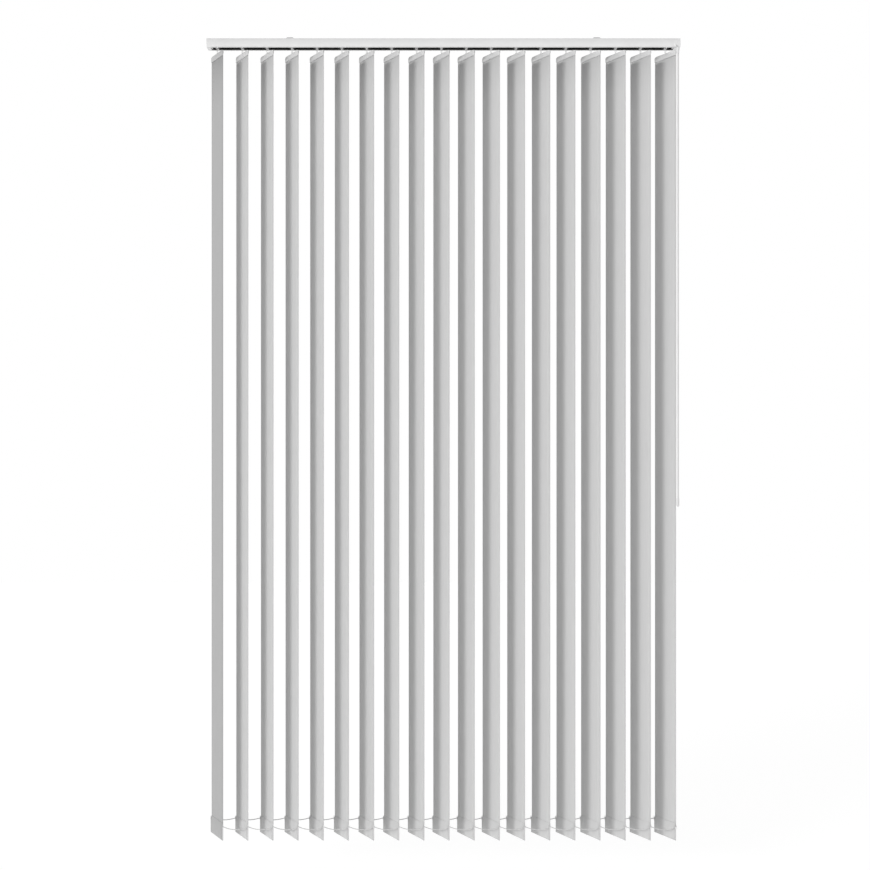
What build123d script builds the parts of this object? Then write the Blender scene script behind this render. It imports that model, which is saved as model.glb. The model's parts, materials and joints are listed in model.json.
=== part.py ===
from build123d import *
import os
from math import asin, atan2, cos, degrees, hypot, pi, radians, sin, sqrt, tan

# A vertical blind. Fabric slats hang from carriers that glide in a headrail under the ceiling.
# The ceiling is the plane z = 0, X runs along the rail and the room lies towards -Y.
# Each slat is drawn closed, with its front towards the room, and then turned open about its stem.

# The row of slats
slat_count = 19
slat_pitch = 79.4
stack_pitch = 20.0
slat_angle = 55.0
left_inset = 32.0
right_inset = 44.4

# Gaps between pieces
run_gap = 0.3
run_fit = 0.05
seat_fit = 0.15
overrun = 2.0

# Small turned bars and their bores have flats
bar_sides = 12
ball_sides = 8

# Headrail
ceiling_gap = 5.0
rail_height = 28.0
rail_depth = 34.0
rail_crown = 0.8
rail_wall = 1.3
channel_height = 2.5
channel_lip = 3.0
slot_lip = 4.5
runner_height = 3.3

# End caps
left_cap_width = 12.6
right_cap_width = 19.2
cap_chamfer = 1.0
spigot_length = 4.0
bearing_depth = 11.0

# Ceiling brackets
bracket_inset = 265.0
bracket_width = 30.0
bracket_neck = 17.0
bracket_steel = 1.2
bracket_foot = 2.2
screw_radius = 2.25

# Tilt rod and tilter
rod_behind = 8.0
rod_below = 16.0
rod_flats = 6.0
journal_radius = 2.5
rod_end_gap = 0.5
wheel_radius = 5.0
wheel_width = 5.0
wheel_teeth = 12
tooth_depth = 1.0
tooth_tip_share = 0.3
tooth_root_share = 0.62
worm_radius = 2.5
worm_length = 6.5
shaft_radius = 2.0
tilter_inset = 15.2
nose_radius = 3.9
nose_start = 20.0
neck_radius = 1.6
ball_radius = 3.8
ball_front = 46.0
ball_below = 15.0

# Wand
socket_wall = 1.2
socket_length = 16.0
socket_sleeve_radius = 4.2
wand_swing = 60.0
head_radius = 2.7
head_top = 6.5
head_seat = 9.0
wand_neck_radius = 1.9
wand_radius = 3.5
wand_length = 1442.0
tip_length = 26.0
tip_radius = 4.4
tip_chamfer = 1.4
tip_floor = 8.0

# Carriers and their spacer links
carrier_side_gap = 0.5
carrier_top_gap = 0.6
neck_foot_gap = 0.6
neck_length = 7.4
link_lanes = 5
lane_step = 0.7
link_steel = 0.4
link_width = 8.0
link_front = 10.0
link_head = 12.0
link_side_gap = 0.5

# Stems
stem_radius = 2.7
stem_drop = 15.2
stem_reach = 14.0
tongue_width = 5.4
tongue_thickness = 1.1
tongue_foot_width = 9.0
tongue_foot_height = 3.0

# Hangers
hanger_width = 90.0
hanger_height = 17.0
hanger_back_height = 12.0
hanger_web = 2.0
hanger_front_wall = 1.65
hanger_back_wall = 1.05
hanger_jaw = 8.0
hanger_room = 0.05

# Slats with their foot pockets
slat_width = 89.0
slat_length = 2496.0
fabric = 0.5
fabric_grip = 10.0
pocket_height = 54.0
pocket_slope = 6.0
pocket_room = 0.1

# Weights with their chain hooks
weight_thickness = 2.8
weight_side_gap = 1.0
weight_foot_gap = 0.1
weight_height = 46.5
hook_reach = 6.5
hook_prong = 1.2
hook_tab = 1.8
hook_tab_below = 1.5
hook_height = 5.5

# Bottom chains
chain_thickness = 1.6
chain_width = 1.2
chain_offset = 2.8
chain_lift = 3.0
chain_end = 1.5
near_sag = 15.0
near_runs = 4
far_sag = 6.5
far_runs = 3

# Levels and lines that follow from these sizes
along_rail = Axis.X.direction
blind_width = left_inset + (slat_count - 1) * slat_pitch + right_inset
half_width = blind_width / 2
rail_start = left_cap_width - half_width
rail_end = half_width - right_cap_width
rail_top = -ceiling_gap
rail_foot = rail_top - rail_height
corner_half = rail_depth / 2 - rail_crown
inner_half = corner_half - rail_wall
slot_half = corner_half - slot_lip
lip_underside = rail_top - rail_wall
chamber_top = lip_underside - channel_height - rail_wall
runner_top = rail_foot + runner_height
rod_level = rail_top - rod_below
carrier_length = stack_pitch - 2 * run_gap
carrier_top = chamber_top - carrier_top_gap
carrier_shoulder = runner_top + run_gap
carrier_foot = rail_foot + neck_foot_gap
groove_floor = carrier_top - link_lanes * lane_step - carrier_top_gap
hanger_top = rail_foot - stem_drop
hanger_foot = hanger_top - hanger_height
slat_foot = hanger_top - slat_length
fabric_half = fabric / 2
pocket_back = -fabric_half
pocket_front = pocket_back - weight_thickness - pocket_room
pocket_face = pocket_front - fabric
pocket_top = slat_foot + pocket_height
weight_foot = slat_foot + fabric + weight_foot_gap
weight_top = weight_foot + weight_height
tab_top = weight_top - hook_tab_below
chain_level = tab_top + chain_lift
chain_line = slat_width / 2 + chain_offset
weight_middle = pocket_back - pocket_room / 2 - weight_thickness / 2
slat_places = [-half_width + left_inset + number * slat_pitch for number in range(slat_count)]

# The tilter's shaft runs from its ball up past the front of the worm wheel
tilter_x = half_width - tilter_inset
ball_level = rail_foot - ball_below
rod_from_ball = (rod_behind + ball_front, rod_level - ball_level)
mesh_distance = wheel_radius + worm_radius + run_gap
shaft_rise = atan2(rod_from_ball[1], rod_from_ball[0]) + asin(mesh_distance / hypot(*rod_from_ball))
worm_middle = rod_from_ball[0] * cos(shaft_rise) + rod_from_ball[1] * sin(shaft_rise)
worm_start = worm_middle - worm_length / 2
ball_centre = Vector(tilter_x, -ball_front, ball_level)
tilter_plane = Plane(origin=ball_centre, x_dir=along_rail, z_dir=(0, cos(shaft_rise), sin(shaft_rise)))


def block(low, high):
    """A box between two opposite corners."""
    low, high = Vector(*low), Vector(*high)
    size = high - low
    return Pos(*((low + high) / 2)) * Box(size.X, size.Y, size.Z)


def panel(y_low, y_high, z_low, z_high):
    """A flat rectangle across the rail."""
    middle = Pos((y_low + y_high) / 2, (z_low + z_high) / 2)
    return Plane.YZ * middle * Rectangle(y_high - y_low, z_high - z_low)


def crowned_section(half_depth, low, high):
    """A section with a flat top and foot, and a front and back that bulge by the crown."""
    middle = (low + high) / 2
    outline = Curve() + [
        Line((-half_depth, low), (half_depth, low)),
        ThreePointArc((half_depth, low), (half_depth + rail_crown, middle), (half_depth, high)),
        Line((half_depth, high), (-half_depth, high)),
        ThreePointArc((-half_depth, high), (-half_depth - rail_crown, middle), (-half_depth, low)),
    ]
    return Plane.YZ * make_face(outline)


def section_face(points):
    """A flat face across the rail from its corner points."""
    return Plane.YZ * make_face(Polyline(*points, close=True))


def run(section, start, end):
    """A section drawn out along the rail."""
    return Pos(start, 0, 0) * extrude(section, amount=end - start, dir=along_rail)


def rod_round(radius, start, end):
    """A round bar on the tilt rod's axis."""
    place = Plane(origin=(start, rod_behind, rod_level), z_dir=along_rail)
    return place * Cylinder(radius, end - start, align=(Align.CENTER, Align.CENTER, Align.MIN))


def bar(radius, start, end, sides=bar_sides):
    """An upright bar with flats. Its corners lie on the radius."""
    return Pos(0, 0, start) * extrude(RegularPolygon(radius, sides), amount=end - start)


def bore(radius, start, end, sides=bar_sides):
    """An upright hole with flats. The flats touch the radius."""
    outline = RegularPolygon(radius, sides, major_radius=False)
    return Pos(0, 0, start) * extrude(outline, amount=end - start)


def make_headrail():
    """The extrusion: a bracket channel on top, a chamber, and a slot with upturned runners below."""
    section = crowned_section(corner_half, rail_foot, rail_top)
    section -= panel(-inner_half, inner_half, lip_underside - channel_height, lip_underside)
    mouth_half = inner_half - channel_lip
    section -= panel(-mouth_half, mouth_half, lip_underside - overrun / 2, rail_top + overrun)
    section -= crowned_section(inner_half, rail_foot + rail_wall, chamber_top)
    section -= panel(-slot_half, slot_half, rail_foot - overrun, rail_foot + rail_wall + overrun)
    section += panel(slot_half, slot_half + rail_wall, rail_foot, runner_top)
    section += panel(-slot_half - rail_wall, -slot_half, rail_foot, runner_top)
    return run(section, rail_start, rail_end)


def make_cap_body(side):
    """An end cap's block with the rail's outline, and the spigot that locates it in the rail."""
    outer = crowned_section(corner_half, rail_foot, rail_top)
    inner_end = rail_end if side > 0 else rail_start
    body = run(outer, *sorted((inner_end, side * half_width)))
    end_face = body.faces().sort_by(Axis.X)[-1 if side > 0 else 0]
    body = chamfer(end_face.edges(), cap_chamfer)
    spigot_half = inner_half - seat_fit
    spigot = panel(-spigot_half, spigot_half, runner_top + seat_fit, chamber_top - seat_fit)
    return body + run(spigot, *sorted((inner_end, inner_end - side * spigot_length)))


def make_left_cap():
    """The plain end cap with the tilt rod's blind bearing."""
    inner_end = rail_start + spigot_length + overrun
    bearing = rod_round(journal_radius + run_fit, rail_start - bearing_depth, inner_end)
    return make_cap_body(-1) - bearing


def make_right_cap():
    """The end cap that houses the worm wheel and carries the tilter's shaft in a nose."""
    wheel_half = wheel_width / 2 + run_gap
    worm_end = worm_start + worm_length
    body = make_cap_body(1) + tilter_plane * bar(nose_radius, nose_start, worm_middle - worm_length)
    body -= rod_round(journal_radius + run_fit, rail_end - spigot_length - overrun, rail_end + bearing_depth)
    wheel_place = Plane(origin=(tilter_x, rod_behind, rod_level), z_dir=along_rail)
    body -= wheel_place * bore(wheel_radius + run_gap, -wheel_half, wheel_half)
    body -= tilter_plane * bore(shaft_radius + run_fit, nose_start - overrun, worm_start)
    return body - tilter_plane * bore(worm_radius + run_gap, worm_start - run_gap, worm_end + run_gap)


def make_bracket(side):
    """A folded clip: a plate on the ceiling and two flared legs whose feet hold the rail's channel lips."""
    leg_out = inner_half - channel_lip - run_gap
    leg_in = leg_out - bracket_steel
    foot_out = leg_out + bracket_foot
    foot_low = lip_underside - bracket_steel
    half = [
        (0, 0),
        (leg_out, 0),
        (leg_out, lip_underside),
        (foot_out, lip_underside),
        (foot_out, foot_low),
        (leg_in, foot_low),
        (leg_in, -bracket_steel),
        (0, -bracket_steel),
    ]
    folded = run(section_face(half), -bracket_width / 2, bracket_width / 2)
    folded += mirror(folded, about=Plane.XZ)
    flare = Polyline(
        (-bracket_neck / 2, 0),
        (bracket_neck / 2, 0),
        (bracket_width / 2, rail_top),
        (bracket_width / 2, foot_low),
        (-bracket_width / 2, foot_low),
        (-bracket_width / 2, rail_top),
        close=True,
    )
    folded &= extrude(Plane.XZ * make_face(flare), amount=rail_depth / 2, both=True)
    folded -= Cylinder(screw_radius, 2 * bracket_steel + overrun)
    return Pos(side * (half_width - bracket_inset), 0, 0) * folded


def make_tilt_rod():
    """The six-sided rod with a round journal at each end."""
    flat_inset = spigot_length + rod_end_gap
    journal_reach = bearing_depth - run_gap
    hexagon = RegularPolygon(rod_flats / 2, 6, major_radius=False)
    place = Plane(origin=(rail_start + flat_inset, rod_behind, rod_level), z_dir=along_rail)
    rod = extrude(place * hexagon, amount=rail_end - rail_start - 2 * flat_inset)
    return rod + rod_round(journal_radius, rail_start - journal_reach, rail_end + journal_reach)


def make_rod_wheel():
    """The toothed wheel on the rod's right journal."""
    step = 360 / wheel_teeth
    points = []
    for tooth in range(wheel_teeth):
        for radius, share in (
            (wheel_radius - tooth_depth, -tooth_root_share),
            (wheel_radius, -tooth_tip_share),
            (wheel_radius, tooth_tip_share),
            (wheel_radius - tooth_depth, tooth_root_share),
        ):
            angle = radians(step * (tooth + share / 2))
            points.append((radius * cos(angle), radius * sin(angle)))
    place = Plane(origin=(tilter_x, rod_behind, rod_level), z_dir=along_rail)
    wheel = extrude(place * make_face(Polyline(*points, close=True)), amount=wheel_width / 2, both=True)
    return wheel - place * bore(journal_radius, -wheel_width, wheel_width)


def make_ball():
    """A ball with flats: three bars across one another. Its corners lie on the radius."""
    half_side = pi / ball_sides
    flats = ball_radius / sqrt(1 + 2 * tan(half_side) ** 2)
    upright = Rot(0, 0, degrees(half_side)) * bore(flats, -ball_radius, ball_radius, ball_sides)
    return upright & Rot(90, 0, 0) * upright & Rot(0, 90, 0) * upright


def make_tilter_shaft():
    """The worm shaft, in one piece with the ball that the wand hangs from."""
    shaft = make_ball() + bar(neck_radius, 0, nose_start)
    shaft += bar(shaft_radius, nose_start, worm_start)
    return tilter_plane * (shaft + bar(worm_radius, worm_start, worm_start + worm_length))


def make_wand_socket():
    """The cup that hangs on the ball. A slot in its roof and back lets the wand swing past the neck."""
    cup_inner = ball_radius + run_gap
    cup_outer = cup_inner + socket_wall
    turn = Rot(0, 0, 180 / ball_sides)
    forward = radians(wand_swing) - pi / 2 + shaft_rise
    slot_front = cup_outer * tan(forward) + neck_radius / cos(forward) + run_gap
    slot_floor = cup_inner * tan(shaft_rise) - neck_radius / cos(shaft_rise) - run_gap
    slot_half_width = neck_radius + run_gap
    socket = bore(cup_outer, -cup_outer, cup_outer, ball_sides)
    socket += bore(socket_sleeve_radius, -socket_length, -cup_outer, ball_sides)
    socket -= bore(cup_inner, -cup_inner, cup_inner, ball_sides)
    socket -= bore(head_radius + run_gap, -head_seat, 0, ball_sides)
    socket = turn * socket - bore(wand_neck_radius + run_fit, -socket_length - overrun, 0)
    slot = block(
        (-slot_half_width, -slot_front, slot_floor),
        (slot_half_width, cup_outer + overrun, cup_outer + overrun),
    )
    return Pos(*ball_centre) * (socket - slot)


def make_wand_rod():
    """The wand, with a headed neck that turns in the socket."""
    shoulder = -socket_length - run_gap
    foot = -wand_length + tip_floor
    rod = Pos(0, 0, foot) * Cylinder(wand_radius, shoulder - foot, align=(Align.CENTER, Align.CENTER, Align.MIN))
    rod += bar(wand_neck_radius, shoulder, -head_seat)
    rod += bar(head_radius, -head_seat, -head_top)
    return Pos(*ball_centre) * rod


def make_wand_tip():
    """The cap on the wand's lower end: a sleeve around the rod, with a chamfered foot."""
    tip = bar(tip_radius, -wand_length, tip_length - wand_length)
    tip = chamfer(tip.faces().sort_by(Axis.Z)[0].edges(), tip_chamfer)
    seat = Cylinder(wand_radius, tip_length, align=(Align.CENTER, Align.CENTER, Align.MIN))
    return Pos(*ball_centre) * (tip - Pos(0, 0, tip_floor - wand_length) * seat)


def make_carrier(number):
    """A glider that runs on the rail's runners, with the spacer link that reaches to its left neighbour."""
    x = slat_places[number]
    half_length = carrier_length / 2
    side = inner_half - carrier_side_gap
    neck = slot_half - carrier_side_gap
    groove_front = -link_front - link_side_gap
    groove_back = -link_front + link_width + link_side_gap
    housing = run(
        section_face([
            (side, carrier_shoulder),
            (side, carrier_top),
            (groove_back, carrier_top),
            (groove_back, groove_floor),
            (groove_front, groove_floor),
            (groove_front, carrier_top),
            (-side, carrier_top),
            (-side, carrier_shoulder),
        ]),
        x - half_length,
        x + half_length,
    )
    housing += block(
        (x - neck_length / 2, -neck, carrier_foot),
        (x + neck_length / 2, neck, carrier_shoulder),
    )
    rod_place = Plane(origin=(x, rod_behind, rod_level), z_dir=along_rail)
    rod_corner = rod_flats / 2 / cos(radians(30))
    rod_hole = RegularPolygon(rod_corner + run_gap, 6, major_radius=False)
    housing -= extrude(rod_place * rod_hole, amount=carrier_length, both=True)
    stem_top = carrier_foot + stem_reach + run_gap
    housing -= Pos(x, 0, 0) * bore(stem_radius + run_fit, carrier_foot, stem_top)
    if number == 0:
        return [housing]
    low = groove_floor + carrier_top_gap / 2 + number % link_lanes * lane_step
    strip = block(
        (x - slat_pitch - half_length, -link_front, low),
        (x + link_head / 2, -link_front + link_width, low + link_steel),
    )
    strip += block(
        (x - link_head / 2, groove_front, low),
        (x + link_head / 2, groove_back, low + link_steel),
    )
    return [housing, strip]


def make_stem():
    """The turning stem: a shank in the carrier, and a tongue whose foot carries the hanger."""
    shank_foot = hanger_top + run_gap
    foot_top = hanger_top - hanger_web
    tongue_front = -fabric_half - hanger_room - (tongue_thickness - fabric)
    tongue_back = fabric_half - hanger_room
    shank = bar(stem_radius, shank_foot, carrier_foot + stem_reach)
    tongue = block((-tongue_width / 2, tongue_front, foot_top), (tongue_width / 2, tongue_back, shank_foot))
    foot = block(
        (-tongue_foot_width / 2, tongue_front, foot_top - tongue_foot_height),
        (tongue_foot_width / 2, tongue_back, foot_top),
    )
    return shank + tongue + foot


def make_hanger():
    """The clip along a slat's top edge: a room for the tongue's foot above jaws that grip the fabric."""
    front = -fabric_half - hanger_front_wall
    back = fabric_half + hanger_back_wall
    room_front = -fabric_half - 2 * hanger_room - (tongue_thickness - fabric)
    room_top = hanger_top - hanger_web
    jaw_top = hanger_foot + hanger_jaw
    clip = extrude(
        section_face([
            (front, hanger_top),
            (back, hanger_top),
            (back, hanger_top - hanger_back_height),
            (fabric_half, hanger_top - hanger_back_height),
            (fabric_half, room_top),
            (room_front, room_top),
            (room_front, jaw_top),
            (-fabric_half, jaw_top),
            (-fabric_half, hanger_foot),
            (front, hanger_foot),
        ]),
        amount=hanger_width / 2,
        both=True,
    )
    slot_side = tongue_width / 2 + seat_fit
    return clip - block((-slot_side, room_front, room_top - overrun), (slot_side, fabric_half, hanger_top + overrun))


def make_fabric():
    """The slat's fabric, folded forwards at its foot and welded into a pocket."""
    outer = [
        (fabric_half, hanger_foot + fabric_grip),
        (fabric_half, slat_foot),
        (pocket_face, slat_foot),
        (pocket_face, pocket_top - pocket_slope),
        (-fabric_half, pocket_top),
        (-fabric_half, hanger_foot + fabric_grip),
    ]
    inner = [
        (pocket_back, slat_foot + fabric),
        (pocket_front, slat_foot + fabric),
        (pocket_front, pocket_top - pocket_slope),
        (pocket_back, pocket_top - fabric),
    ]
    section = section_face(outer) - section_face(inner)
    return extrude(section, amount=slat_width / 2, dir=along_rail, both=True)


def make_weight():
    """The plate in the pocket, with an upturned hook for the chain at each end."""
    plate_half = slat_width / 2 - weight_side_gap
    hook_out = slat_width / 2 + hook_reach
    low, high = weight_middle - weight_thickness / 2, weight_middle + weight_thickness / 2
    plate = block((-plate_half, low, weight_foot), (plate_half, high, weight_top))
    for side in (-1, 1):
        tab_ends = sorted((side * plate_half, side * hook_out))
        prong_ends = sorted((side * (hook_out - hook_prong), side * hook_out))
        plate += block((tab_ends[0], low, tab_top - hook_tab), (tab_ends[1], high, tab_top))
        plate += block((prong_ends[0], low, tab_top), (prong_ends[1], high, tab_top + hook_height))
    return plate


def make_chain(side, sag, runs):
    """A bottom chain that hangs slack from hook to hook, in straight runs."""
    turn = radians(-slat_angle)
    local_x, local_y = side * chain_line, weight_middle
    shift_x = local_x * cos(turn) - local_y * sin(turn)
    shift_y = local_x * sin(turn) + local_y * cos(turn)
    first, last = slat_places[0] + shift_x, slat_places[-1] + shift_x
    line = [(first - chain_end, chain_level)]
    for place in slat_places[:-1]:
        for step in range(runs):
            share = step / runs
            drop = sag * (1 - (2 * share - 1) ** 2)
            line.append((place + shift_x + share * slat_pitch, chain_level - drop))
    line += [(last, chain_level), (last + chain_end, chain_level)]
    half = chain_thickness / 2
    upper = [(x, z + half) for x, z in line]
    lower = [(x, z - half) for x, z in reversed(line)]
    outline = make_face(Polyline(*upper, *lower, close=True))
    return Pos(0, shift_y, 0) * extrude(Plane.XZ * outline, amount=chain_width / 2, both=True)


def write(name, *pieces):
    """One file for each node, with every solid of its pieces."""
    solids = [solid for piece in pieces for solid in piece.solids()]
    export_step(solids[0] if len(solids) == 1 else Compound(solids), f"parts/{name}.step")


os.makedirs("parts", exist_ok=True)

write("headrail", make_headrail())
write("left_end_cap", make_left_cap())
write("right_end_cap", make_right_cap())
write("left_bracket", make_bracket(-1))
write("right_bracket", make_bracket(1))
write("tilt_rod", make_tilt_rod())
write("rod_wheel", make_rod_wheel())
write("tilter_shaft", make_tilter_shaft())
write("wand_socket", make_wand_socket())
write("wand_rod", make_wand_rod())
write("wand_tip", make_wand_tip())
write("near_chain", make_chain(1, near_sag, near_runs))
write("far_chain", make_chain(-1, far_sag, far_runs))

slat_pieces = [make_stem(), make_hanger(), make_fabric(), make_weight()]
for number, x in enumerate(slat_places):
    place = Pos(x, 0, 0) * Rot(0, 0, -slat_angle)
    write(f"carrier_{number + 1:02d}", *make_carrier(number))
    write(f"slat_{number + 1:02d}", *[place * piece for piece in slat_pieces])
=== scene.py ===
# %% [markdown]
# # A vertical blind, dressed for its picture
# The frame brings the blind's solids at their real size: a headrail under the ceiling, carriers that glide
# in it, and 19 slats that hang from them. This lesson replaces the soft and small pieces with finer
# meshes and gives every piece a finish. Nothing is moved: all numbers are metres in the blind's own frame,
# where the ceiling is z = 0, X runs along the rail and the room lies towards -Y.

# %% Load the frame
import json
from math import cos, pi, radians, sin
import bmesh
import bpy
from mathutils import Matrix, Vector


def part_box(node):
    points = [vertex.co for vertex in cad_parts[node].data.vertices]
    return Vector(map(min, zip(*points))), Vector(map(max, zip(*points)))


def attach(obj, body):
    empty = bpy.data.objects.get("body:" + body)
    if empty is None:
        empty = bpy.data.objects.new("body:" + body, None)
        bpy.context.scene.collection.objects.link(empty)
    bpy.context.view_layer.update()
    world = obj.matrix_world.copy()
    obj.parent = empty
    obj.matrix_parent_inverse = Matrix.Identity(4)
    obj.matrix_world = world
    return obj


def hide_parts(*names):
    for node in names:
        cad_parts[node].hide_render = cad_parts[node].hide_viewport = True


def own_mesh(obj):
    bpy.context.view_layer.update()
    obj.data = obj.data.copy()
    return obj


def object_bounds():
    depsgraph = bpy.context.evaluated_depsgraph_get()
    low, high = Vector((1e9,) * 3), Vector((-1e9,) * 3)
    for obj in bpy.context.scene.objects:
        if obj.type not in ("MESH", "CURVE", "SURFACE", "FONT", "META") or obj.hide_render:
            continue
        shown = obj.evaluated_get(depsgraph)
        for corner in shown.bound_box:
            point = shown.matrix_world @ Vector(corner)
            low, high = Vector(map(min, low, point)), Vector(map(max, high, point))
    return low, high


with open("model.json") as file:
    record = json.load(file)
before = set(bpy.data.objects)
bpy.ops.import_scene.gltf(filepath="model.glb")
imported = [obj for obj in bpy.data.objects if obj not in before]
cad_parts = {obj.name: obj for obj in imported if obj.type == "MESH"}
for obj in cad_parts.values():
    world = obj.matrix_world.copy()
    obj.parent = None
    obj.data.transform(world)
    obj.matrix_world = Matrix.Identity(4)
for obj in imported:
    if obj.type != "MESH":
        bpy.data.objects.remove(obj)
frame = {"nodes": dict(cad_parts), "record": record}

scene = bpy.context.scene
solid_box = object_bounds()
joints = {joint["name"]: joint for joint in frame["record"]["behaviour"]["joints"]}
print("solids reach from", solid_box[0], "to", solid_box[1])

# %% [markdown]
# ## Camera
# The picture was taken level, a little left of the blind's middle and about halfway down, from 3.4 m away.
# A level camera keeps the slats' edges upright. The focal length is known in pixels, so it is turned into
# a lens length for a 36 mm sensor.

# %% Camera
picture_pixels = 870
focal_pixels = 1070.2
sensor_width = 36.0
camera_place = Vector((-0.0266, -3.414, -1.2647))

camera_data = bpy.data.cameras.new("camera")
camera_data.sensor_width = sensor_width
camera_data.lens = sensor_width * focal_pixels / picture_pixels
camera = bpy.data.objects.new("camera", camera_data)
camera.location = camera_place
camera.rotation_euler = (pi / 2, 0, 0)
scene.collection.objects.link(camera)
scene.camera = camera
scene.view_settings.view_transform = "Standard"
print("lens", round(camera_data.lens, 2), "mm")

# %% [markdown]
# ## Room light
# The blind hangs in an even, bright room. The world is white where the camera looks at it directly, and a
# calmer grey where it lights the blind, a little stronger from below and from the left. Node helpers come
# first: one adds a node and fills its sockets, and one joins two sockets.

# %% Node helpers
def add_node(tree, kind, sockets=None, **settings):
    """A new node, with its settings and the values of its input sockets."""
    node = tree.nodes.new(kind)
    for name, value in settings.items():
        setattr(node, name, value)
    for name, value in (sockets or {}).items():
        node.inputs[name].default_value = value
    return node


def join(tree, start, socket_out, end, socket_in):
    """A link from one node's output to another node's input."""
    tree.links.new(start.outputs[socket_out], end.inputs[socket_in])


def seen_directly(tree):
    """A factor that is 1 for rays from the camera and for mirror and glass rays."""
    path = add_node(tree, "ShaderNodeLightPath")
    first = add_node(tree, "ShaderNodeMath", operation="MAXIMUM")
    second = add_node(tree, "ShaderNodeMath", operation="MAXIMUM")
    join(tree, path, "Is Camera Ray", first, 0)
    join(tree, path, "Is Glossy Ray", first, 1)
    join(tree, first, 0, second, 0)
    join(tree, path, "Is Transmission Ray", second, 1)
    return second


print("node helpers", [helper.__name__ for helper in (add_node, join, seen_directly)])

# %% World
room_level = 0.72
room_slope = Vector((-0.14, 0, -0.16))

world = bpy.data.worlds.new("room_light")
world.use_nodes = True
scene.world = world
tree = world.node_tree
tree.nodes.clear()
direction = add_node(tree, "ShaderNodeTexCoord")
lean = add_node(tree, "ShaderNodeVectorMath", {1: room_slope}, operation="DOT_PRODUCT")
level = add_node(tree, "ShaderNodeMath", {1: room_level}, operation="ADD")
room = add_node(tree, "ShaderNodeBackground", {"Color": (1, 1, 1, 1)})
white = add_node(tree, "ShaderNodeBackground", {"Color": (1, 1, 1, 1), "Strength": 1})
choice = add_node(tree, "ShaderNodeMixShader")
output = add_node(tree, "ShaderNodeOutputWorld")
join(tree, direction, "Generated", lean, 0)
join(tree, lean, "Value", level, 0)
join(tree, level, 0, room, "Strength")
join(tree, seen_directly(tree), 0, choice, 0)
join(tree, room, 0, choice, 1)
join(tree, white, 0, choice, 2)
join(tree, choice, 0, output, 0)
print("room light", room_level, "leaning", list(room_slope))

# %% [markdown]
# ## Window light
# Low light shines in from the left in front, as through a wide window. It is a fan of suns beside each
# other: wide, so that each slat throws a soft stripe on the next one, and of little height, so that the
# rail and the hangers throw a crisper shade downwards. The suns in the middle are the strongest.

# %% Window light
window_azimuth = radians(50)
window_height = radians(19.5)
window_spread = radians(22)
window_strength = 1.20
pane_count = 5
pane_spread = radians(5)

pane_shares = [(pane + 0.5) / pane_count * 2 - 1 for pane in range(pane_count)]
pane_weights = [(1 - share ** 2) ** 0.5 for share in pane_shares]
panes = []
for number, (share, weight) in enumerate(zip(pane_shares, pane_weights), 1):
    azimuth = window_azimuth + share * window_spread / 2
    towards_pane = Vector((
        -sin(azimuth) * cos(window_height), -cos(azimuth) * cos(window_height), sin(window_height)))
    pane_data = bpy.data.lights.new(f"window_pane_{number}", "SUN")
    pane_data.angle = pane_spread
    pane_data.energy = window_strength * weight / sum(pane_weights)
    pane = bpy.data.objects.new(f"window_pane_{number}", pane_data)
    pane.rotation_euler = towards_pane.to_track_quat("Z", "Y").to_euler()
    scene.collection.objects.link(pane)
    panes.append(pane)
print("window panes", len(panes))

# %% [markdown]
# ## Floor
# The floor is a pale plane below the blind that throws light back up. Seen directly it mostly glows, so that
# it reads as white and takes only a faint shadow. The same factor as in the world tells the two apart.

# %% Floor
floor_gap = 0.16
floor_level = solid_box[0][2] - floor_gap
floor_size = 14.0
floor_grey = 0.8
floor_return = 0.32
seen_grey = 0.15
seen_glow = 0.90

bm = bmesh.new()
bmesh.ops.create_grid(bm, x_segments=1, y_segments=1, size=floor_size / 2)
bmesh.ops.translate(bm, vec=(0, 0, floor_level), verts=bm.verts)
floor_mesh = bpy.data.meshes.new("floor")
bm.to_mesh(floor_mesh)
bm.free()
floor = bpy.data.objects.new("floor", floor_mesh)
scene.collection.objects.link(floor)

floor_paint = bpy.data.materials.new("floor_paint")
floor_paint.use_nodes = True
tree = floor_paint.node_tree
tree.nodes.clear()
choice = add_node(tree, "ShaderNodeMixShader")
output = add_node(tree, "ShaderNodeOutputMaterial")
join(tree, seen_directly(tree), 0, choice, 0)
for socket, (shade, strength) in enumerate(((floor_grey, floor_return), (seen_grey, seen_glow)), 1):
    matt = add_node(tree, "ShaderNodeBsdfDiffuse", {"Color": (shade, shade, shade, 1)})
    glow = add_node(tree, "ShaderNodeEmission", {"Strength": strength})
    both = add_node(tree, "ShaderNodeAddShader")
    join(tree, matt, 0, both, 0)
    join(tree, glow, 0, both, 1)
    join(tree, both, 0, choice, socket)
join(tree, choice, 0, output, 0)
floor_mesh.materials.append(floor_paint)
print("floor at", round(floor_level, 3))

# %% [markdown]
# ## Finishes with a grain
# Moulded plastic, powder coat, plated steel and aluminium all need the same three things: a colour that
# clouds a little, a gloss that varies, and a fine grain in relief. One function makes them all from
# noise on Object coordinates, so the grain stays on the piece in every pose. Values that are the same all
# over go on the shader's own sockets.

# %% Noise helpers
noise_low, noise_high = 0.3, 0.7    # most of a noise lies between these two


def start_material(name, sockets):
    """A new material, with its node tree and its main shader."""
    material = bpy.data.materials.new(name)
    material.use_nodes = True
    shader = material.node_tree.nodes["Principled BSDF"]
    for socket, value in sockets.items():
        shader.inputs[socket].default_value = value
    return material, material.node_tree, shader


def grey(value):
    """A neutral colour."""
    return (value, value, value, 1)


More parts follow.
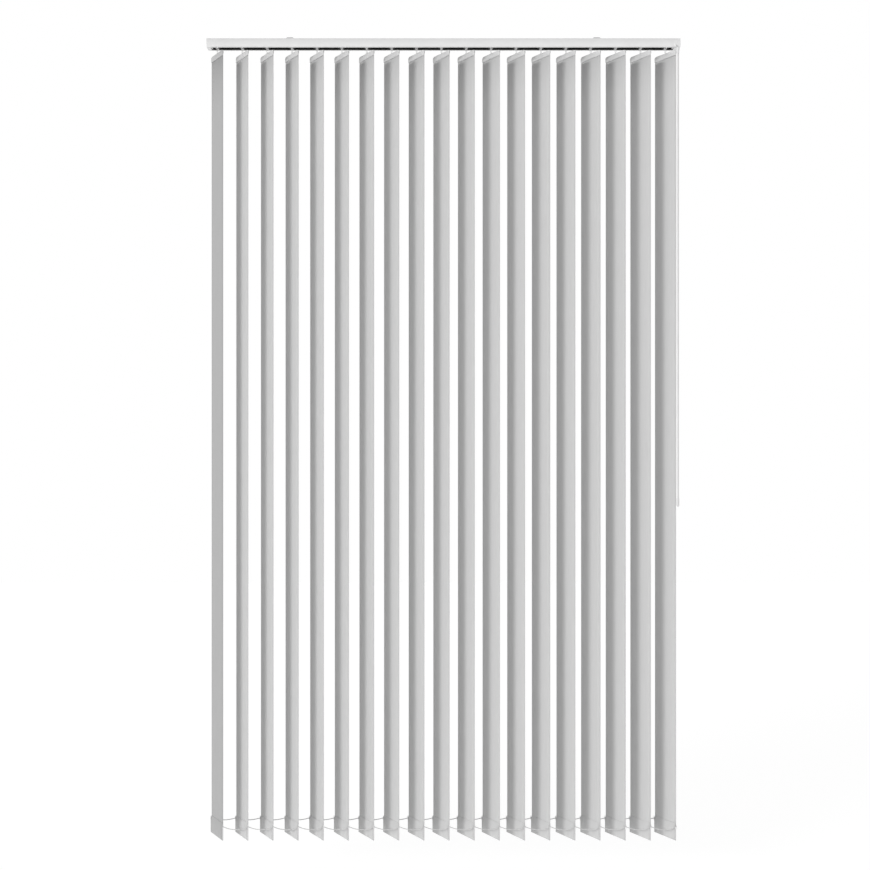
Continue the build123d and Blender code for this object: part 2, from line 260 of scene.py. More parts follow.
def noise_over(tree, place, size, stretch=(1, 1, 1), detail=3.0):
    """Noise whose blots are about a size across, stretched along the axes."""
    mapping = add_node(tree, "ShaderNodeMapping", {"Scale": [1 / (size * part) for part in stretch]})
    noise = add_node(tree, "ShaderNodeTexNoise", {"Scale": 1.0, "Detail": detail})
    tree.links.new(place, mapping.inputs["Vector"])
    join(tree, mapping, 0, noise, "Vector")
    return noise


def between(tree, factor, low, high):
    """A mix of two colours by a noise."""
    ramp = add_node(tree, "ShaderNodeValToRGB")
    ramp.color_ramp.elements[0].position = noise_low
    ramp.color_ramp.elements[0].color = low
    ramp.color_ramp.elements[1].position = noise_high
    ramp.color_ramp.elements[1].color = high
    tree.links.new(factor, ramp.inputs[0])
    return ramp


def spread(tree, factor, low, high):
    """A number between two values, by a noise."""
    span = add_node(tree, "ShaderNodeMapRange", {
        "From Min": noise_low, "From Max": noise_high, "To Min": low, "To Max": high})
    tree.links.new(factor, span.inputs["Value"])
    return span


print("noise counts from", noise_low, "to", noise_high)

# %% Grained finishes
grain_strength = 0.5
shader_sockets = {
    "metal": "Metallic", "shine": "Specular IOR Level", "clear": "Transmission Weight", "bend": "IOR"}


def grained(name, low, high, roughness, grain_size, grain_depth,
            stretch=(1, 1, 1), cloud_size=0.05, **more):
    """A finish with clouded colour, varied gloss and a fine grain in relief."""
    sockets = {shader_sockets[word]: value for word, value in more.items()}
    material, tree, shader = start_material(name, sockets)
    place = add_node(tree, "ShaderNodeTexCoord").outputs["Object"]
    clouds = noise_over(tree, place, cloud_size, stretch)
    grain = noise_over(tree, place, grain_size, stretch)
    relief = add_node(tree, "ShaderNodeBump", {"Strength": grain_strength, "Distance": grain_depth})
    join(tree, between(tree, clouds.outputs[0], low, high), 0, shader, "Base Color")
    join(tree, spread(tree, clouds.outputs[0], *roughness), 0, shader, "Roughness")
    join(tree, grain, 0, relief, "Height")
    join(tree, relief, 0, shader, "Normal")
    return material


cap_plastic = grained(
    "cap_plastic", grey(0.83), grey(0.86), roughness=(0.38, 0.48), grain_size=0.0009, grain_depth=0.00004)
wand_plastic = grained(
    "wand_plastic", grey(0.72), grey(0.76), roughness=(0.45, 0.55), grain_size=0.0012, grain_depth=0.00002,
    shine=0.15)
hanger_plastic = grained(
    "hanger_plastic", grey(0.61), grey(0.65), roughness=(0.35, 0.45), grain_size=0.0008, grain_depth=0.00003)
weight_plastic = grained(
    "weight_plastic", grey(0.86), grey(0.90), roughness=(0.40, 0.50), grain_size=0.0008, grain_depth=0.00003)
chain_plastic = grained(
    "chain_plastic", grey(0.57), grey(0.63), roughness=(0.30, 0.42), grain_size=0.0006, grain_depth=0.00002)
stem_plastic = grained(
    "stem_plastic", grey(0.88), grey(0.93), roughness=(0.22, 0.32), grain_size=0.0006, grain_depth=0.00002,
    clear=0.75, bend=1.2)
gear_nylon = grained(
    "gear_nylon", grey(0.45), grey(0.52), roughness=(0.4, 0.5), grain_size=0.0007, grain_depth=0.00003)
plated_steel = grained(
    "plated_steel", grey(0.46), grey(0.56), roughness=(0.28, 0.42), grain_size=0.0006, grain_depth=0.00002,
    stretch=(1, 8, 1), cloud_size=0.004, metal=1.0)
drawn_aluminium = grained(
    "drawn_aluminium", grey(0.60), grey(0.70), roughness=(0.22, 0.36), grain_size=0.0004,
    grain_depth=0.00001, stretch=(60, 1, 1), cloud_size=0.002, metal=1.0)
print("finishes", [material.name for material in bpy.data.materials])

# %% [markdown]
# ## Two finishes on one solid
# The rail is extruded aluminium with a white powder coat on the faces that show. Its channel gets
# near-black painted shade, so the slot reads as a black line. A carrier has a near-black body, painted
# shade for the dark inside the rail, and a pale neck of its own plastic, which shows in the slot. A
# mask on Object coordinates separates the two finishes: it is 1 within limits along an axis. Rail and
# caps also get painted shade, a little greyer towards the ceiling, and the rail's lower lip gets painted
# shade towards its edge. Each is a fade along Z.

# %% Rail and carrier finishes
rail_low, rail_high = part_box("headrail")
rail_foot = rail_low[2]
rail_wall = 0.0013
channel_half = (rail_high[1] - rail_low[1]) / 2 - rail_wall
neck_height = 0.0034
lip_height = 0.0045
# painted shade: how dark the rail and caps get towards the ceiling, and the rail's lip towards its edge
ceiling_shade = 0.82
lip_shade = 0.86
# painted shade: the rail's channel is near black, where shade falls inside the rail
channel_painted_shade = (grey(0.018), grey(0.024))
neck_pale = (grey(0.60), grey(0.66))
mix_first, mix_second, mix_result = 6, 7, 2    # the colour sockets of a Mix node


def inside_limits(tree, limits):
    """A factor that is 1 where every named coordinate lies within its limits."""
    place = add_node(tree, "ShaderNodeTexCoord")
    axes = add_node(tree, "ShaderNodeSeparateXYZ")
    join(tree, place, "Object", axes, 0)
    inside = None
    for axis, (low, high) in limits.items():
        test = add_node(
            tree, "ShaderNodeMath", {1: (low + high) / 2, 2: (high - low) / 2}, operation="COMPARE")
        join(tree, axes, axis, test, 0)
        if inside:
            both = add_node(tree, "ShaderNodeMath", operation="MULTIPLY")
            join(tree, inside, 0, both, 0)
            join(tree, test, 0, both, 1)
            test = both
        inside = test
    return inside


def second_colour(material, low, high, limits):
    """A second clouded colour on a finish, inside limits on the piece."""
    tree = material.node_tree
    shader = tree.nodes["Principled BSDF"]
    first = shader.inputs["Base Color"].links[0].from_node
    clouds = first.inputs[0].links[0].from_socket
    mix = add_node(tree, "ShaderNodeMix", data_type="RGBA")
    join(tree, inside_limits(tree, limits), 0, mix, 0)
    join(tree, first, 0, mix, mix_first)
    join(tree, between(tree, clouds, low, high), 0, mix, mix_second)
    join(tree, mix, mix_result, shader, "Base Color")


def painted_shade_along(material, low, high, shade):
    """Darken a finish more and more from one height to another, as painted shade."""
    tree = material.node_tree
    shader = tree.nodes["Principled BSDF"]
    axes = add_node(tree, "ShaderNodeSeparateXYZ")
    join(tree, add_node(tree, "ShaderNodeTexCoord"), "Object", axes, 0)
    fade = add_node(tree, "ShaderNodeMapRange", {
        "From Min": low, "From Max": high, "To Min": 0, "To Max": 1})
    mix = add_node(
        tree, "ShaderNodeMix", {mix_second: grey(shade)}, data_type="RGBA", blend_type="MULTIPLY")
    join(tree, axes, "Z", fade, "Value")
    join(tree, fade, "Result", mix, 0)
    tree.links.new(shader.inputs["Base Color"].links[0].from_socket, mix.inputs[mix_first])
    join(tree, mix, mix_result, shader, "Base Color")


rail_white = grained(
    "rail_coat", grey(0.83), grey(0.86), roughness=(0.36, 0.44), grain_size=0.0011, grain_depth=0.00003)
# painted shade inside the rail's channel
second_colour(rail_white, *channel_painted_shade, {
    "Y": (-channel_half, channel_half), "Z": (rail_foot + rail_wall / 2, rail_high[2] - rail_wall / 2)})
# painted shade: rail and caps darker towards the ceiling, the rail's lower lip darker towards its edge
painted_shade_along(rail_white, rail_foot, rail_high[2], ceiling_shade)
painted_shade_along(rail_white, rail_foot + lip_height, rail_foot, lip_shade)
painted_shade_along(cap_plastic, rail_foot, rail_high[2], ceiling_shade)
# the carrier's near-black body is painted shade inside the rail; its pale neck is the carrier's own colour
carrier_painted_shade = grained(
    "carrier_painted_shade", grey(0.012), grey(0.020), roughness=(0.45, 0.6), grain_size=0.0007, grain_depth=0.00004)
second_colour(carrier_painted_shade, *neck_pale, {"Z": (rail_foot, rail_foot + neck_height)})
print("channel is dark within", round(channel_half, 4), "m of the rail's middle")

# %% [markdown]
# ## Slat fabric
# The slats are a stiffened plain weave. Warp and weft threads are two crossed waves along the cloth's own
# UV map, which is written in metres. Slubs, the thicker stretches of a thread, are noise drawn out
# along the slat. A very slow noise gives the soft unevenness that a hung cloth has.

# %% Fabric finish
thread_pitch = 0.0009
wave_turn = 20.0    # a wave texture of scale 1 turns by 20 radians in each unit
thread_depth = 0.00006
slub_width = 0.0016
slub_stretch = (1, 40, 1)
drift_size = 0.18
drift_depth = 0.002


def slat_cloth():
    """Matt grey polyester in a plain weave with faint slubs."""
    material, tree, shader = start_material("slat_cloth", {"Roughness": 0.85, "Specular IOR Level": 0.25})
    place = add_node(tree, "ShaderNodeTexCoord").outputs["UV"]
    threads = []
    for across in ("X", "Y"):
        wave = add_node(
            tree, "ShaderNodeTexWave", {"Scale": 2 * pi / (wave_turn * thread_pitch), "Distortion": 0.4},
            wave_type="BANDS", bands_direction=across, wave_profile="SIN")
        tree.links.new(place, wave.inputs["Vector"])
        threads.append(wave)
    weave = add_node(tree, "ShaderNodeMath", operation="MULTIPLY")
    join(tree, threads[0], "Fac", weave, 0)
    join(tree, threads[1], "Fac", weave, 1)
    slubs = noise_over(tree, place, slub_width, slub_stretch)
    drift = noise_over(tree, place, drift_size, detail=1.0)
    thread_relief = add_node(tree, "ShaderNodeBump", {"Strength": 0.25, "Distance": thread_depth})
    slow_relief = add_node(tree, "ShaderNodeBump", {"Strength": 0.2, "Distance": drift_depth})
    colour = between(tree, slubs.outputs[0], grey(0.565), grey(0.605))
    join(tree, colour, 0, shader, "Base Color")
    join(tree, drift, 0, slow_relief, "Height")
    join(tree, weave, 0, thread_relief, "Height")
    join(tree, slow_relief, 0, thread_relief, "Normal")
    join(tree, thread_relief, 0, shader, "Normal")
    return material


slat_fabric = slat_cloth()
print("threads", thread_pitch * 1000, "mm apart")

# %% [markdown]
# ## Where the slats hang
# Every slat turns about its stem, and the record gives each stem's place as that slat's hinge. A slat
# piece is modelled once, closed and at x = 0. Its copies are then turned open and moved to their stems, in
# their meshes, so that every object stays at the origin.

# %% Places and piece helpers
slat_turn = radians(-55)
stem_places = {
    joint["child"]: joint["pos_m"][0] for joint in joints.values() if joint["child"].startswith("slat_")}
slat_names = sorted(stem_places)
sharp_angle = radians(35)


def finish_piece(mesh, name, material, body, nodes=()):
    """An object for a mesh, with its finish, its body and the solids that it stands for."""
    mesh.materials.clear()
    mesh.materials.append(material)
    mesh.shade_smooth()
    mesh.set_sharp_from_angle(angle=sharp_angle)
    piece = bpy.data.objects.new(name, mesh)
    scene.collection.objects.link(piece)
    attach(piece, body)
    if nodes:
        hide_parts(*nodes)
    return piece


def mesh_from(bm, name):
    """A mesh from a bmesh whose faces all point outwards."""
    bmesh.ops.recalc_face_normals(bm, faces=bm.faces)
    mesh = bpy.data.meshes.new(name)
    bm.to_mesh(mesh)
    bm.free()
    return mesh


def hang_copies(mesh, name, material):
    """One copy of a slat piece on every slat."""
    pieces = []
    for slat in slat_names:
        copy = mesh.copy()
        copy.transform(Matrix.Translation((stem_places[slat], 0, 0)) @ Matrix.Rotation(slat_turn, 4, "Z"))
        pieces.append(finish_piece(copy, f"{name}_{slat[-2:]}", material, slat, [slat]))
    bpy.data.meshes.remove(mesh)
    return pieces


print("slats hang at x from", stem_places[slat_names[0]], "to", stem_places[slat_names[-1]])

# %% [markdown]
# ## Slats
# A slat is one strip of cloth, folded forwards at its foot around a weight and welded to itself above it.
# A row of edges is drawn down from the hanger, spun half a turn round the fold, drawn up the front and
# laid against the strip again. A Solidify modifier then gives the cloth its thickness on both sides.

# %% Slat cloth
slat_width = 0.089
cloth = 0.0005
stem_drop = 0.0152
hanger_height = 0.0170
cloth_grip = 0.010
hanger_top = rail_foot - stem_drop
hanger_foot = hanger_top - hanger_height
cloth_top = hanger_foot + cloth_grip
slat_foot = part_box("slat_01")[0][2]
weight_room = 0.0029
pocket_height = 0.054
pocket_top = slat_foot + pocket_height
pocket_slope = 0.0075
weld_height = 0.0025
weld_gap = cloth / 10
cloth_columns = 6
cloth_rows = 14
fold_steps = 8
fold_radius = (weight_room + cloth) / 2
fold_level = slat_foot + cloth / 2 + fold_radius


def draw_on(bm, edges, shift):
    """Extrude a row of edges by a shift, and return the new row."""
    made = bmesh.ops.extrude_edge_only(bm, edges=edges)["geom"]
    corners = [part for part in made if isinstance(part, bmesh.types.BMVert)]
    bmesh.ops.translate(bm, vec=shift, verts=corners)
    return [part for part in made if isinstance(part, bmesh.types.BMEdge)]


def slat_strip():
    """The folded strip, with a UV map in metres."""
    bm = bmesh.new()
    start = bm.verts.new((-slat_width / 2, 0, cloth_top))
    row = []
    for _ in range(cloth_columns):
        step = bmesh.ops.extrude_vert_indiv(bm, verts=[start])
        bmesh.ops.translate(bm, vec=(slat_width / cloth_columns, 0, 0), verts=step["verts"])
        start = step["verts"][0]
        row += step["edges"]
    for _ in range(cloth_rows):
        row = draw_on(bm, row, (0, 0, (fold_level - cloth_top) / cloth_rows))
    ends = {vert for edge in row for vert in edge.verts}
    spun = bmesh.ops.spin(
        bm, geom=row + list(ends), cent=(0, -fold_radius, fold_level), axis=(1, 0, 0), angle=-pi,
        steps=fold_steps, use_merge=False)
    row = [part for part in spun["geom_last"] if isinstance(part, bmesh.types.BMEdge)]
    slope_foot = pocket_top - weld_height - pocket_slope
    row = draw_on(bm, row, (0, 0, slope_foot - fold_level))
    row = draw_on(bm, row, (0, weight_room - weld_gap, pocket_slope))
    draw_on(bm, row, (0, 0, weld_height))
    uv = bm.loops.layers.uv.new("cloth")
    for face in bm.faces:
        for loop in face.loops:
            loop[uv].uv = (loop.vert.co.x, loop.vert.co.z)
    return mesh_from(bm, "slat_strip")


cloths = hang_copies(slat_strip(), "slat_cloth", slat_fabric)
for piece in cloths:
    wall = piece.modifiers.new("cloth_thickness", "SOLIDIFY")
    wall.thickness = cloth
    wall.offset = 0
    wall.use_even_offset = True

# %% [markdown]
# ## Hangers
# A hanger is an extruded plastic clip as wide as the slat. Its front wall shows as a pale band. The
# section is drawn as one face and pulled along the slat in five lengths. The two end lengths slope down to
# low shoulders. In the middle one the web is opened and its two outlines are bridged, which leaves the
# slot for the stem's tongue.

# %% Face and edge helpers
least_turn = radians(40)


def pull(bm, face, shift):
    """Extrude one face by a shift, and return the new face."""
    face = bmesh.ops.extrude_discrete_faces(bm, faces=[face])["faces"][0]
    bmesh.ops.translate(bm, vec=shift, verts=face.verts)
    return face


def bevel(bm, edges, offset, segments=2):
    """Round some edges."""
    bmesh.ops.bevel(
        bm, geom=edges, offset=offset, offset_type="OFFSET", segments=segments, profile=0.5,
        affect="EDGES", clamp_overlap=True, material=-1)


def round_edges(bm, offset, segments=2, only=None):
    """Round the edges that turn sharply, or only some of them."""
    bm.normal_update()
    edges = [
        edge for edge in bm.edges
        if len(edge.link_faces) == 2 and edge.calc_face_angle(0) > least_turn
        and (only is None or only(edge))]
    bevel(bm, edges, offset, segments)


print("edges are rounded from a turn of", round(least_turn, 2), "radians on")

# %% Hangers
hanger_width = 0.090
hanger_web = 0.002
hanger_front = -0.0019
hanger_back = 0.0013
hanger_back_height = 0.012
hanger_back_foot = hanger_top - hanger_back_height
tongue_room = -0.00095
jaw_height = 0.008
jaw_top = hanger_foot + jaw_height
tongue_slot = 0.0057
shoulder_length = 0.005
shoulder_drop = 0.004
small_round = 0.0003
aligned = 0.9


def hanger_clip():
    """The clip, with the slot for the tongue in its web."""
    half = cloth / 2
    room_top = hanger_top - hanger_web
    section = (
        (hanger_front, hanger_top), (tongue_room, hanger_top), (half, hanger_top), (hanger_back, hanger_top),
        (hanger_back, hanger_back_foot), (half, hanger_back_foot), (half, room_top), (tongue_room, room_top),
        (tongue_room, jaw_top), (-half, jaw_top), (-half, hanger_foot), (hanger_front, hanger_foot),
    )
    bm = bmesh.new()
    end = bm.faces.new([bm.verts.new((-hanger_width / 2, y, z)) for y, z in section])
    side = (hanger_width - tongue_slot) / 2 - shoulder_length
    for length in (shoulder_length, side, tongue_slot, side, shoulder_length):
        end = pull(bm, end, (length, 0, 0))
    bmesh.ops.holes_fill(bm, edges=bm.edges)
    tops = [
        vert for vert in bm.verts
        if abs(vert.co.x) > hanger_width / 2 - small_round and vert.co.z > room_top - small_round]
    bmesh.ops.translate(bm, vec=(0, 0, -shoulder_drop), verts=tops)
    bmesh.ops.recalc_face_normals(bm, faces=bm.faces)

    def in_web(face):
        middle = face.calc_center_median()
        return (abs(middle.x) < tongue_slot / 2 and tongue_room < middle.y < half
                and middle.z > room_top - small_round and abs(face.normal.z) > aligned)

    web = [face for face in bm.faces if in_web(face)]
    rims = {edge for face in web for edge in face.edges}
    bmesh.ops.delete(bm, geom=web, context="FACES_ONLY")
    bmesh.ops.bridge_loops(bm, edges=list(rims))
    round_edges(bm, small_round)
    return mesh_from(bm, "hanger_clip")


hangers = hang_copies(hanger_clip(), "hanger", hanger_plastic)
print("hangers", len(hangers), "with", len(hangers[0].data.polygons), "faces each")

# %% [markdown]
# ## Stems
# Each stem is a milky moulded shank that turns in its carrier. Below, a flat tongue goes through the
# hanger's slot, and its wider foot carries the hanger. The shank is a profile spun round its own axis. The
# tongue and its foot are rounded blocks that join it.

# %% Turned and block helpers
round_steps = 28
merge_distance = 1e-6


def turned(profile):
    """A piece turned from a half section, a row of (radius, height) points."""
    bm = bmesh.new()
    verts = [bm.verts.new((radius, 0, height)) for radius, height in profile]
    edges = [bm.edges.new(pair) for pair in zip(verts, verts[1:])]
    bmesh.ops.spin(
        bm, geom=verts + edges, cent=(0, 0, 0), axis=(0, 0, 1), angle=2 * pi, steps=round_steps,
        use_merge=True)
    bmesh.ops.remove_doubles(bm, verts=bm.verts, dist=merge_distance)
    bmesh.ops.recalc_face_normals(bm, faces=bm.faces)
    return bm


def add_block(bm, low, high, offset=0.0):
    """A box between two corners, with its edges rounded by an offset."""
    low, high = Vector(low), Vector(high)
    made = bmesh.ops.create_cube(bm, size=1)["verts"]
    bmesh.ops.scale(bm, vec=high - low, verts=made)
    bmesh.ops.translate(bm, vec=(low + high) / 2, verts=made)
    if offset:
        edges = {edge for vert in made for edge in vert.link_edges}
        bevel(bm, list(edges), offset)


print("turned pieces have", round_steps, "sides")

# %% Stems
stem_radius = 0.0027
stem_rise = 0.0146
stem_top = rail_foot + stem_rise
shank_gap = 0.0003
shank_foot = hanger_top + shank_gap
stem_chamfer = 0.0004
tongue_half = 0.0027
tongue_front = -0.0009
tongue_back = 0.0002
tongue_round = stem_chamfer / 4
tongue_foot_half = 0.0045
tongue_foot_height = 0.003
tongue_foot_level = hanger_top - hanger_web - tongue_foot_height


def stem_shape():
    """The shank with its tongue and foot."""
    web_foot = hanger_top - hanger_web
    bm = turned([
        (0, stem_top), (stem_radius - stem_chamfer, stem_top), (stem_radius, stem_top - stem_chamfer),
        (stem_radius, shank_foot + stem_chamfer), (stem_radius - stem_chamfer, shank_foot), (0, shank_foot)])
    add_block(
        bm, (-tongue_half, tongue_front, web_foot - small_round),
        (tongue_half, tongue_back, shank_foot + stem_chamfer), tongue_round)
    add_block(
        bm, (-tongue_foot_half, tongue_front, tongue_foot_level),
        (tongue_foot_half, tongue_back, web_foot), tongue_round)
    return mesh_from(bm, "stem_shape")


stems = hang_copies(stem_shape(), "stem", stem_plastic)
print("stems", len(stems), "of", 2 * stem_radius * 1000, "mm")

# %% [markdown]
# ## Weights with chain pins
# A flat moulded weight lies in each pocket and keeps the slat straight. At both ends a tab sticks out with
# an upright pin that holds the chain, so that the slat can turn in the chain's eyelet. The plate is a
# cube cut at the tab's levels, each tab is pulled out of the end face, and each pin is a small cylinder.
# The plate's foot is well rounded, because it sits in the fold.

# %% Weights
weight_back = -0.0003
weight_front = -0.0031
weight_half = 0.0443
weight_middle = (weight_front + weight_back) / 2
weight_lift = 0.0006
weight_height = 0.0425
weight_foot = slat_foot + weight_lift
weight_top = weight_foot + weight_height
tab_inset = 0.0015
tab_height = 0.0018
tab_top = weight_top - tab_inset
tab_foot = tab_top - tab_height
tab_end = 0.0496
pin_line = 0.0473
pin_radius = 0.0012
pin_height = 0.0095
pin_sides = 12
foot_round = 0.0012
foot_steps = 3


def face_at(bm, normal, place):
    """The face that points along a normal and lies nearest to a place."""
    bm.normal_update()
    facing = [face for face in bm.faces if face.normal.dot(Vector(normal)) > aligned]
    return min(facing, key=lambda face: (face.calc_center_median() - Vector(place)).length)


def at_foot(edge):
    """Whether an edge lies at the plate's foot."""
    return max(vert.co.z for vert in edge.verts) < weight_foot + small_round


def weight_plate():
    """The plate with a tab and a pin at each end."""
    bm = bmesh.new()
    add_block(bm, (-weight_half, weight_front, weight_foot), (weight_half, weight_back, weight_top))
    for level in (tab_foot, tab_top):
        bmesh.ops.bisect_plane(
            bm, geom=bm.verts[:] + bm.edges[:] + bm.faces[:], plane_co=(0, 0, level), plane_no=(0, 0, 1))
    for side in (-1, 1):
        tab = face_at(bm, (side, 0, 0), (side * weight_half, weight_middle, (tab_foot + tab_top) / 2))
        pull(bm, tab, (side * (tab_end - weight_half), 0, 0))
    round_edges(bm, foot_round, foot_steps, only=at_foot)
    round_edges(bm, small_round)
    for side in (-1, 1):
        middle = Vector((side * pin_line, weight_middle, tab_top + (pin_height - small_round) / 2))
        bmesh.ops.create_cone(
            bm, cap_ends=True, segments=pin_sides, radius1=pin_radius, radius2=pin_radius,
            depth=pin_height + small_round, matrix=Matrix.Translation(middle))
    return mesh_from(bm, "weight_plate")


weights = hang_copies(weight_plate(), "weight", weight_plastic)
print("weights", len(weights), "with", len(weights[0].data.polygons), "faces each")

# %% [markdown]
# ## Bead chains
# Two bead chains keep the slats in step, one along the near pins and one along the far ones. Between two
# pins a chain hangs slack, as a parabola. Beads are spheres of few faces, and a thin rod joins each pair.
# On each pin sits a longer bead, the chain's eyelet. When the slats are drawn together the chain gathers
# too, so the whole mesh squashes along the rail with the traverse.

# %% Bead chains
chain_lift = 0.003
chain_level = tab_top + chain_lift
near_sag, near_beads = 0.0095, 20
far_sag, far_beads = 0.0065, 18
bead_radius = 0.0017
link_radius = 0.0013
link_sides = 5
eyelet_size = Vector((0.0020, 0.0020, 0.0029))
slat_pitch = (stem_places[slat_names[-1]] - stem_places[slat_names[0]]) / (len(slat_names) - 1)


def add_link(bm, start, end):
    """A thin rod from one bead to the next."""
    along = end - start
    turn = along.to_track_quat("Z", "Y").to_matrix().to_4x4()
    bmesh.ops.create_cone(
        bm, segments=link_sides, radius1=link_radius, radius2=link_radius, depth=along.length,
        matrix=Matrix.Translation((start + end) / 2) @ turn)


def chain_shape(first_pin, sag, beads):
    """All spans of one chain, from its first pin on."""
    bm = bmesh.new()
    places = []
    for span in range(len(slat_names) - 1):
        for bead in range(beads):
            share = bead / beads
            drop = sag * 4 * share * (1 - share)
            places.append((first_pin + Vector(((span + share) * slat_pitch, 0, -drop)), bead == 0))
    places.append((first_pin + Vector(((len(slat_names) - 1) * slat_pitch, 0, 0)), True))
    for place, on_pin in places:
        size = eyelet_size if on_pin else Vector((bead_radius,) * 3)
        bmesh.ops.create_icosphere(
            bm, subdivisions=1, radius=1, matrix=Matrix.Translation(place) @ Matrix.Diagonal((*size, 1)))
    for (start, _), (end, _) in zip(places, places[1:]):
        add_link(bm, start, end)
    return mesh_from(bm, "chain_shape")


for body, side, sag, beads in (
        ("near_chain", 1, near_sag, near_beads), ("far_chain", -1, far_sag, far_beads)):
    reach = Matrix.Rotation(slat_turn, 3, "Z") @ Vector((side * pin_line, weight_middle, chain_level))
    # the chain hooks on to the pins of the first and the last slat
    hooks = [reach + Vector((stem_places[name], 0, 0)) for name in (slat_names[0], slat_names[-1])]
    chain_mesh = chain_shape(hooks[0], sag, beads)
    chain = finish_piece(chain_mesh, f"{body}_beads", chain_plastic, body, [body])
    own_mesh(chain)
    print(body, "has", beads, "beads in each span")

# %% [markdown]
# ## Tilter shaft and wand
# A long wand hangs from a ball on the end of the tilter's shaft. Twisting it turns the shaft's worm, which
# turns the rod in the rail and with it every stem. Ball, shaft, wand and tip are turned pieces: each half
# section is drawn with the ball's middle as its zero, spun, and moved to the ball's place.

# %% Tilter shaft
ball = Vector(joints["wand_swing"]["pos_m"])
shaft_axis = Vector(joints["tilter_turn"]["axis"])
shaft_place = Matrix.Translation(ball) @ shaft_axis.to_track_quat("Z", "X").to_matrix().to_4x4()
ball_radius = 0.0038
neck_radius = 0.0016
nose_start = 0.020
shaft_radius = 0.0020
worm_start = 0.05662
worm_end = 0.06312
worm_radius = 0.0025
arc_steps = 10


def arc(radius, start, end):
    """Points on a half section's arc about the origin, by angles above the horizontal."""
    angles = [start + (end - start) * step / arc_steps for step in range(arc_steps + 1)]
    return [(radius * cos(angle), radius * sin(angle)) for angle in angles]


def place_turned(profile, place, name, body, nodes):
    """A turned piece in its place."""
    mesh = mesh_from(turned(profile), name)
    mesh.transform(place)
    return finish_piece(mesh, name, wand_plastic, body, nodes)


neck_angle = pi / 2 - neck_radius / ball_radius
shaft_profile = [
    (0, -ball_radius), *arc(ball_radius, -pi / 2, neck_angle)[1:], (neck_radius, nose_start),
    (shaft_radius, nose_start), (shaft_radius, worm_start), (worm_radius, worm_start),
    (worm_radius, worm_end), (0, worm_end)]
place_turned(shaft_profile, shaft_place, "tilter_ball_shaft", "tilter", ["tilter_shaft"])
print("shaft ends", worm_end, "m from the ball's middle")

# %% Wand
wand_place = Matrix.Translation(ball)
socket_foot = -0.016
head_radius = 0.0027
head_top = -0.0065
head_seat = -0.009
seat_gap = 0.0001
wand_neck = 0.0019
wand_radius = 0.0035
wand_foot = -1.442
tip_height = 0.026
tip_floor = 0.008
tip_top = wand_foot + tip_height
tip_seat = wand_foot + tip_floor
tip_radius = 0.0044
tip_chamfer = 0.0014
rod_top = socket_foot - small_round
rod_profile = [
    (0, head_top), (head_radius - small_round, head_top), (head_radius, head_top - small_round),
    (head_radius, head_seat + seat_gap), (wand_neck, head_seat + seat_gap), (wand_neck, rod_top),
    (wand_radius - small_round, rod_top), (wand_radius, rod_top - small_round), (wand_radius, tip_seat),
    (0, tip_seat)]
place_turned(rod_profile, wand_place, "wand_stick", "wand", ["wand_rod"])

tip_profile = [
    (0, wand_foot), (tip_radius - tip_chamfer - small_round, wand_foot),
    (tip_radius - tip_chamfer, wand_foot + small_round), (tip_radius, wand_foot + 2 * tip_chamfer),
    (tip_radius, tip_top - small_round), (tip_radius - small_round, tip_top), (wand_radius, tip_top),
    (wand_radius, tip_seat), (0, tip_seat)]
place_turned(tip_profile, wand_place, "wand_tip_cap", "wand", ["wand_tip"])
print("wand ends at z", round(ball.z + wand_foot, 3))

# %% [markdown]
# ## Wand socket and tilter nose
# The cup that hangs on the ball is a turned piece as well. A slot through its roof and back lets the neck
# in. A box cuts it with a Boolean modifier, because the slot crosses both the round wall and the round
# room inside. The nose is the right cap's round sleeve, in which the shaft turns.

# %% Wand socket
cup_radius = 0.0053
cup_room = 0.0041
cup_foot = -cup_radius / 2
sleeve_radius = 0.0042
sleeve_top = -1.4 * cup_radius
slot_half = neck_radius + small_round
slot_front = -0.0026
slot_floor = 0.0005
room_angle = -radians(45)
socket_profile = [
    (0, cup_radius), *reversed(arc(cup_radius, 0, pi / 2)[:-1]), (cup_radius, cup_foot),
    (sleeve_radius, sleeve_top), (sleeve_radius, socket_foot + small_round),
    (sleeve_radius - small_round, socket_foot), (wand_neck + small_round, socket_foot),
    (wand_neck + small_round, head_seat), (cup_room * cos(room_angle), head_seat),
    *arc(cup_room, room_angle, pi / 2)[:-1], (0, cup_room)]


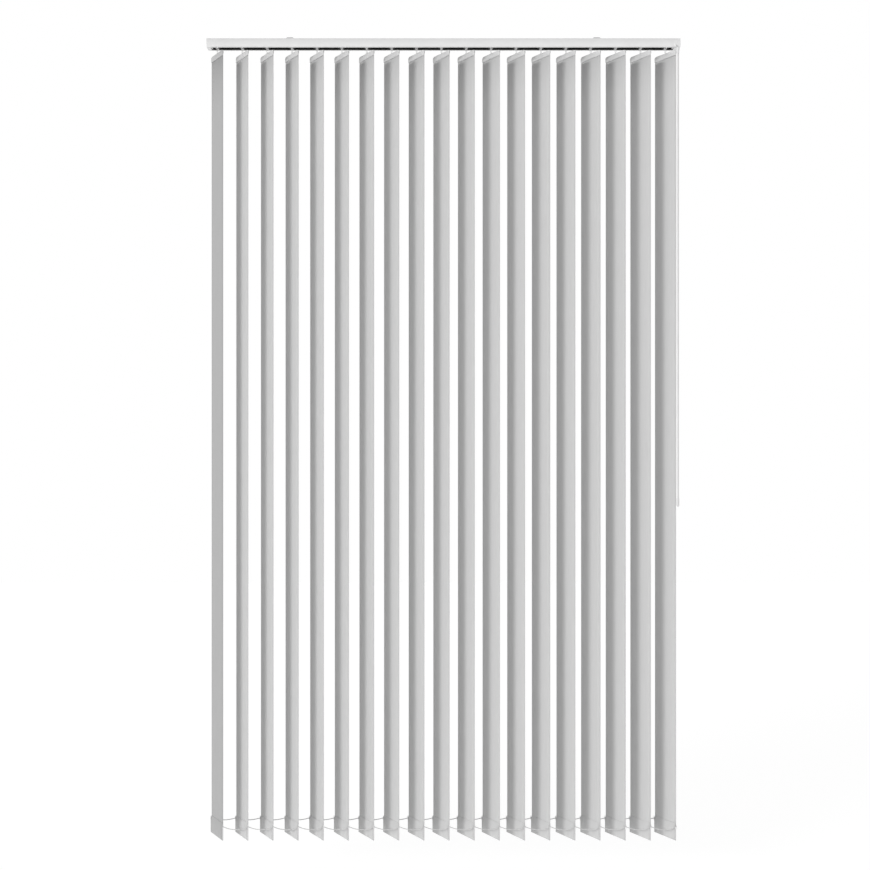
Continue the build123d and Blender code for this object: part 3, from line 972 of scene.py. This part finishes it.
def cut_by_box(mesh, low, high):
    """The mesh that is left when a box is cut out of it."""
    bm = bmesh.new()
    add_block(bm, low, high)
    box = bpy.data.objects.new("cutter", mesh_from(bm, "cutter"))
    whole = bpy.data.objects.new("whole", mesh)
    for obj in (box, whole):
        scene.collection.objects.link(obj)
    cut = whole.modifiers.new("cut", "BOOLEAN")
    cut.operation = "DIFFERENCE"
    cut.solver = "EXACT"
    cut.object = box
    shaped = bpy.data.meshes.new_from_object(whole.evaluated_get(bpy.context.evaluated_depsgraph_get()))
    for obj in (box, whole):
        left = obj.data
        bpy.data.objects.remove(obj)
        bpy.data.meshes.remove(left)
    return shaped


socket_mesh = cut_by_box(
    mesh_from(turned(socket_profile), "socket"), (-slot_half, slot_front, slot_floor),
    (slot_half, 2 * cup_radius, 2 * cup_radius))
socket_mesh.transform(wand_place)
finish_piece(socket_mesh, "wand_cup", wand_plastic, "wand_socket", ["wand_socket"])
print("socket has", len(socket_mesh.polygons), "faces")

# %% Tilter nose
nose_radius = 0.00405
nose_root = 0.042
nose_bore = shaft_radius + small_round
nose_profile = [
    (nose_bore, nose_start), (nose_radius - small_round, nose_start),
    (nose_radius, nose_start + small_round), (nose_radius, nose_root), (nose_bore, nose_root),
    (nose_bore, nose_start)]
place_turned(nose_profile, shaft_place, "tilter_nose", "rail", [])
print("nose is", round(nose_root - nose_start, 4), "m long")

# %% [markdown]
# ## Finishes on the solids that stay
# The rail, its caps, the brackets, the carriers and the rod already have their true shape, so they keep
# their solids and only get a finish, each on its own material slots.

# %% Solids that stay
solid_finishes = {
    "headrail": rail_white, "left_end_cap": cap_plastic, "right_end_cap": cap_plastic,
    "left_bracket": plated_steel, "right_bracket": plated_steel, "tilt_rod": drawn_aluminium,
    "rod_wheel": gear_nylon}
for name, node in frame["nodes"].items():
    if name.startswith("carrier_"):
        solid_finishes[name] = carrier_painted_shade
    if name in solid_finishes:
        for slot in node.material_slots:
            slot.material = solid_finishes[name]
print("solids that stay", len(solid_finishes))

# %% [markdown]
# ## First slat out of the window light
# In the picture the first slat, which has no neighbour to its left, is evenly grey. Light linking keeps the
# panes' light off its pieces, so that only the room lights it.

# %% First slat
shaded = bpy.data.collections.new("shaded_from_window")
for pieces in (cloths, hangers, stems, weights):
    shaded.objects.link(pieces[0])
for pane in panes:
    pane.light_linking.receiver_collection = shaded
for linked in shaded.collection_objects:
    linked.light_linking.link_state = "EXCLUDE"
